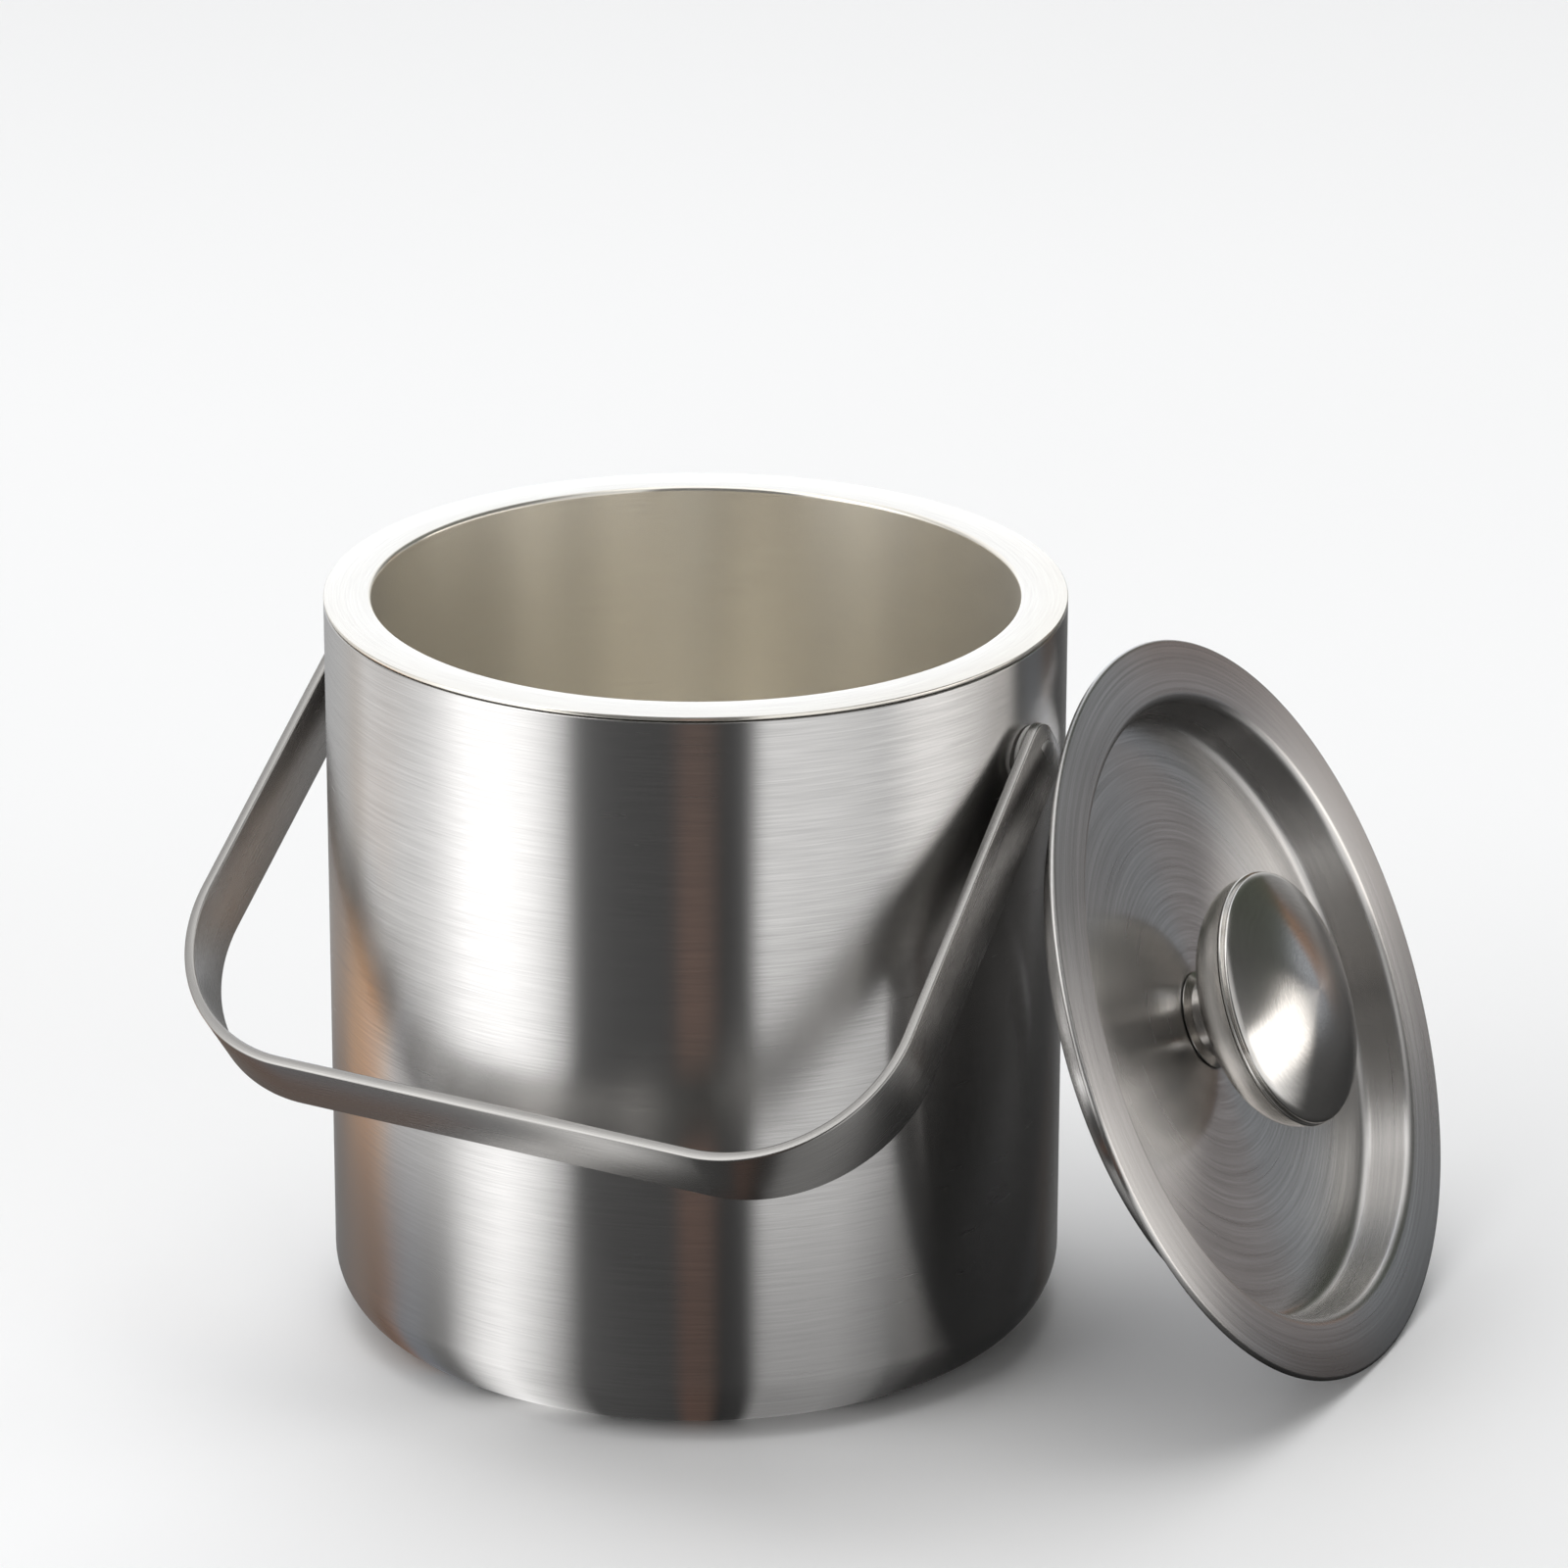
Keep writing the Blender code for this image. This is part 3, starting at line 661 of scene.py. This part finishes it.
def carried_over(material, names):
    """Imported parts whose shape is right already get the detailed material."""
    for name in names:
        data = frame["nodes"][name].data
        data.materials.clear()
        data.materials.append(material)


def floor():
    """A pale floor, which reflections don't see."""
    material = new_material("floor")
    tree = material.node_tree
    shader = tree.nodes["Principled BSDF"]
    shader.inputs["Roughness"].default_value = FLOOR_ROUGHNESS
    coordinates = tree.nodes.new("ShaderNodeTexCoord")
    cloud = noise_node(tree, coordinates.outputs["Object"], FLOOR_CLOUD_DETAIL)
    tint = ramp_node(tree, cloud, ((NOISE_LOW, grey(FLOOR_DARKER)), (NOISE_HIGH, grey(FLOOR_LIGHTER))))
    link(tree, tint, shader.inputs["Base Color"])
    matrix = Matrix.Translation((0, 0, cad_low[2] - FLOOR_DROP))
    plane = flat_square("floor", FLOOR_SIZE / 2, material, matrix)
    plane.visible_glossy = False


def bearing_bands(tree, angle, stops):
    """Colours by horizontal angle. The stops are (degrees, colour), and 0 is the photo's side."""
    turn = map_range(tree, angle, -math.pi, math.pi, 0.0, 1.0)
    return ramp_node(tree, turn, [((degrees + 180) / 360, colour) for degrees, colour in stops])


def dark_table():
    """A dark mat with soft coloured bands, which only reflections see.

    It stands for the dark table and the room's colours low down in the photo. The bands fan out so that
    the round wall shows them upright from the photo's angle, and they stay fixed on the mat.
    """
    material = new_material("dark_table")
    tree = material.node_tree
    tree.nodes.clear()
    cosine, sine, radius, _ = turned_coordinates(tree)
    bearing = math_node(tree, "ARCTAN2", sine, cosine)
    closeness = math_node(tree, "DIVIDE", BODY_RADIUS, radius)
    fanned = math_node(tree, "DIVIDE", scaled(tree, bearing, MIRROR_FAN),
                       math_node(tree, "SUBTRACT", MIRROR_FAN, closeness))
    # Close to the bucket the bands are darker: painted shade round the bucket's foot, together with painted
    # reflections of dark things beside it. Further out the lighter far bands take over.
    near = bearing_bands(tree, fanned, (
        (-180, grey(0.06)), (-142, (0.09, 0.07, 0.06)), (-128, (0.075, 0.045, 0.03)),
        (-119, (0.12, 0.08, 0.065)), (-114, (0.09, 0.095, 0.105)), (-104, (0.09, 0.095, 0.105)),
        (-97, grey(0.06)), (-88, grey(0.07)), (-72, grey(0.50)), (-64, grey(0.58)), (-52, grey(0.34)),
        (-42, grey(0.14)), (-36, grey(0.04)), (-8, grey(0.03)), (-3, (0.055, 0.036, 0.030)),
        (3, (0.050, 0.034, 0.028)), (8, grey(0.015)), (15, grey(0.02)), (20, grey(0.14)), (44, grey(0.14)),
        (60, grey(0.09)), (66, grey(0.04)), (80, grey(0.01)), (150, grey(0.01)), (180, grey(0.06))))
    far = bearing_bands(tree, fanned, (
        (-180, grey(0.10)), (-150, (0.14, 0.08, 0.04)), (-138, (0.34, 0.17, 0.06)),
        (-126, (0.42, 0.20, 0.07)), (-118, (0.52, 0.38, 0.28)), (-112, grey(0.42)), (-88, grey(0.44)),
        (-74, grey(0.72)), (-62, grey(0.76)), (-50, grey(0.54)), (-41, grey(0.30)), (-36, grey(0.04)),
        (-8, grey(0.03)), (-3, (0.09, 0.055, 0.042)), (3, (0.08, 0.05, 0.04)), (8, grey(0.015)),
        (15, grey(0.02)), (20, grey(0.38)), (44, grey(0.38)), (56, grey(0.20)), (66, grey(0.04)),
        (150, grey(0.01)), (180, grey(0.10))))
    farness = map_range(tree, radius, TABLE_RADIUS * TABLE_FAR_START, TABLE_RADIUS * TABLE_FAR_FULL, 0.0, 1.0)
    cover = map_range(tree, radius, TABLE_RADIUS * TABLE_FADE_START, TABLE_RADIUS, 1.0, 0.0)
    clear = tree.nodes.new("ShaderNodeBsdfTransparent")
    # The mat glows rather than being lit: its bands are painted reflections.
    dark = tree.nodes.new("ShaderNodeEmission")
    dark.inputs["Strength"].default_value = STUDIO_STRENGTH
    link(tree, mix_colours(tree, farness, near, far), dark.inputs["Color"])
    mix = tree.nodes.new("ShaderNodeMixShader")
    output = tree.nodes.new("ShaderNodeOutputMaterial")
    link(tree, cover, mix.inputs["Fac"])
    link(tree, clear.outputs[0], mix.inputs[1])
    link(tree, dark.outputs[0], mix.inputs[2])
    link(tree, mix.outputs[0], output.inputs["Surface"])
    matrix = Matrix.Translation((0, 0, cad_low[2] - TABLE_DROP)) @ Matrix.Rotation(CAMERA_SIDE, 4, "Z")
    mat = flat_square("dark_table", TABLE_RADIUS, material, matrix)
    mat.visible_camera = False
    mat.visible_diffuse = False
    mat.visible_shadow = False
    mat.visible_transmission = False


def studio():
    """Soft surroundings in bands that stand for the photo's room. The camera sees a plain pale backdrop."""
    world = bpy.data.worlds.new("studio")
    bpy.context.scene.world = world
    world.use_nodes = True
    tree = world.node_tree
    tree.nodes.clear()
    output = tree.nodes.new("ShaderNodeOutputWorld")
    coordinates = tree.nodes.new("ShaderNodeTexCoord")
    spin = tree.nodes.new("ShaderNodeVectorRotate")
    spin.rotation_type = "Z_AXIS"
    spin.inputs["Angle"].default_value = -CAMERA_SIDE
    link(tree, coordinates.outputs["Generated"], spin.inputs["Vector"])
    split = tree.nodes.new("ShaderNodeSeparateXYZ")
    link(tree, spin.outputs[0], split.inputs[0])
    x, y, z = split.outputs
    bearing = math_node(tree, "ARCTAN2", y, x)
    height = math_node(tree, "ARCSINE", z)
    low = bearing_bands(tree, bearing, (
        (-180, grey(0.12)), (-150, grey(0.22)), (-138, grey(0.26)), (-126, (0.30, 0.28, 0.26)),
        (-119, grey(0.44)), (-115, grey(0.42)), (-97, grey(0.42)), (-88, grey(0.50)),
        (-74, grey(0.80)), (-62, grey(0.80)), (-50, grey(0.60)), (-41, grey(0.36)), (-36, grey(0.04)),
        (-8, grey(0.03)), (-3, (0.10, 0.062, 0.048)), (3, (0.09, 0.058, 0.045)), (8, grey(0.015)),
        (15, grey(0.03)), (20, grey(0.46)), (44, grey(0.44)), (60, grey(0.42)), (80, grey(0.44)),
        (104, grey(0.03)), (150, grey(0.03)), (180, grey(0.12))))
    level = bearing_bands(tree, bearing, (
        (-180, (0.70, 0.74, 0.80)), (-140, grey(0.34)), (-108, grey(0.22)), (-88, grey(0.40)),
        (-72, grey(0.70)), (-52, grey(0.60)), (-42, grey(0.30)), (-37, grey(0.04)), (16, grey(0.03)),
        (21, grey(0.42)), (58, grey(0.40)), (70, (0.84, 0.82, 0.80)), (107, (0.82, 0.79, 0.76)),
        (113, grey(0.07)), (119, (0.17, 0.18, 0.195)), (126, (0.155, 0.165, 0.18)),
        (131, (0.13, 0.075, 0.045)), (136, (0.09, 0.06, 0.045)), (140, grey(0.07)), (150, grey(0.12)),
        (168, grey(0.40)), (180, (0.70, 0.74, 0.80))))
    high = bearing_bands(tree, bearing, (
        (-180, (0.44, 0.46, 0.50)), (-140, grey(0.46)), (-108, grey(0.22)), (-88, grey(0.50)),
        (-72, grey(0.90)), (-52, grey(0.90)), (-42, grey(0.40)), (-37, grey(0.04)), (16, grey(0.03)),
        (21, grey(0.34)), (58, grey(0.22)), (74, grey(0.03)), (146, (0.030, 0.034, 0.026)),
        (156, grey(0.20)), (162, grey(0.45)), (180, (0.44, 0.46, 0.50))))
    colour = low
    for (start, end), upper in ((SKIRT_RISE, level), (SIDE_RISE, high), (SKY_RISE, SKY)):
        rise = map_range(tree, height, math.radians(start), math.radians(end), 0.0, 1.0)
        colour = mix_colours(tree, rise, colour, upper)
    reflected = tree.nodes.new("ShaderNodeBackground")
    reflected.inputs["Strength"].default_value = STUDIO_STRENGTH
    link(tree, colour, reflected.inputs["Color"])
    seen = tree.nodes.new("ShaderNodeBackground")
    seen.inputs["Color"].default_value = BACKDROP
    path = tree.nodes.new("ShaderNodeLightPath")
    mix = tree.nodes.new("ShaderNodeMixShader")
    link(tree, path.outputs["Is Camera Ray"], mix.inputs["Fac"])
    link(tree, reflected.outputs[0], mix.inputs[1])
    link(tree, seen.outputs[0], mix.inputs[2])
    link(tree, mix.outputs[0], output.inputs["Surface"])


def overhead_light():
    """One large soft light above the bucket, which reflections don't see."""
    data = bpy.data.lights.new("overhead", "AREA")
    data.shape = "RECTANGLE"
    data.size = OVERHEAD_SIZE
    data.size_y = OVERHEAD_SIZE
    data.energy = OVERHEAD_POWER
    obj = bpy.data.objects.new("overhead", data)
    obj.location = OVERHEAD_LOCATION
    aim = Vector((0, 0, RIM_TOP / 2)) - Vector(OVERHEAD_LOCATION)
    obj.rotation_euler = aim.to_track_quat("-Z", "Y").to_euler()
    obj.visible_glossy = False
    bpy.context.collection.objects.link(obj)


def colour_view():
    """A plain display curve with deep blacks and clean whites, as in product photographs."""
    settings = bpy.context.scene.view_settings
    settings.view_transform = "Standard"
    settings.look = "None"


def camera():
    data = bpy.data.cameras.new("camera")
    data.lens = CAMERA_LENS
    data.sensor_width = CAMERA_SENSOR
    data.sensor_height = CAMERA_SENSOR
    data.clip_end = CAMERA_REACH
    obj = bpy.data.objects.new("camera", data)
    turn = Euler((CAMERA_PITCH, 0, CAMERA_HEADING)).to_matrix() @ Matrix.Rotation(CAMERA_ROLL, 3, "Z")
    obj.matrix_world = Matrix.Translation(CAMERA_LOCATION) @ turn.to_4x4()
    bpy.context.collection.objects.link(obj)
    bpy.context.scene.camera = obj


def main():
    wall = grained("brushed_wall", colour=(0.68, 0.67, 0.66), roughness=0.25, anisotropy=1.0,
                   fineness=3600.0, streak=5.0, grain_depth=0.000003)
    # The liner's colour is its satin steel made lighter and warmer than the wall's: the extra lightness is
    # painted light and the warm tint is a painted reflection of amber light inside the cup.
    satin_painted_glow = grained("satin_liner_painted_glow", colour=(0.96, 0.92, 0.84), roughness=0.22, anisotropy=0.8,
                    unevenness=0.06, metallic=0.86)
    # The strap's brushed steel is set darker than the same steel on the wall and lid: painted shade.
    strap = grained("brushed_strap_painted_shade", colour=(0.44, 0.43, 0.415), roughness=0.26, anisotropy=0.7,
                    grain="long")
    lid = grained("turned_lid", colour=(0.66, 0.645, 0.63), roughness=0.25, anisotropy=1.0,
                  fineness=1800.0, streak=1.2, grain_depth=0.000003, unevenness=0.13)
    knob = grained("polished_knob", colour=(0.78, 0.76, 0.73), roughness=0.17, anisotropy=0.95,
                   unevenness=0.08)
    plain = grained("plain_steel", colour=(0.50, 0.50, 0.49), roughness=0.38, anisotropy=0.3)
    nylon = grained("nylon", colour=(0.74, 0.73, 0.70), roughness=0.5, metallic=0.0)

    body_wall(wall)
    liner_cup(satin_painted_glow)
    base_disc(plain)
    pivots(nylon, plain)
    bail(strap)
    matrix = lid_matrix()
    lid_dish(lid, matrix)
    knob_top(knob, matrix)
    knob_underside(knob, matrix)
    hidden = [side + part for side, _ in SIDES for part in ("_backing_plate", "_retaining_clip")]
    carried_over(plain, hidden + ["knob_boss", "knob_screw", "knob_washer"])
    floor()
    dark_table()
    studio()
    overhead_light()
    colour_view()
    camera()


main()
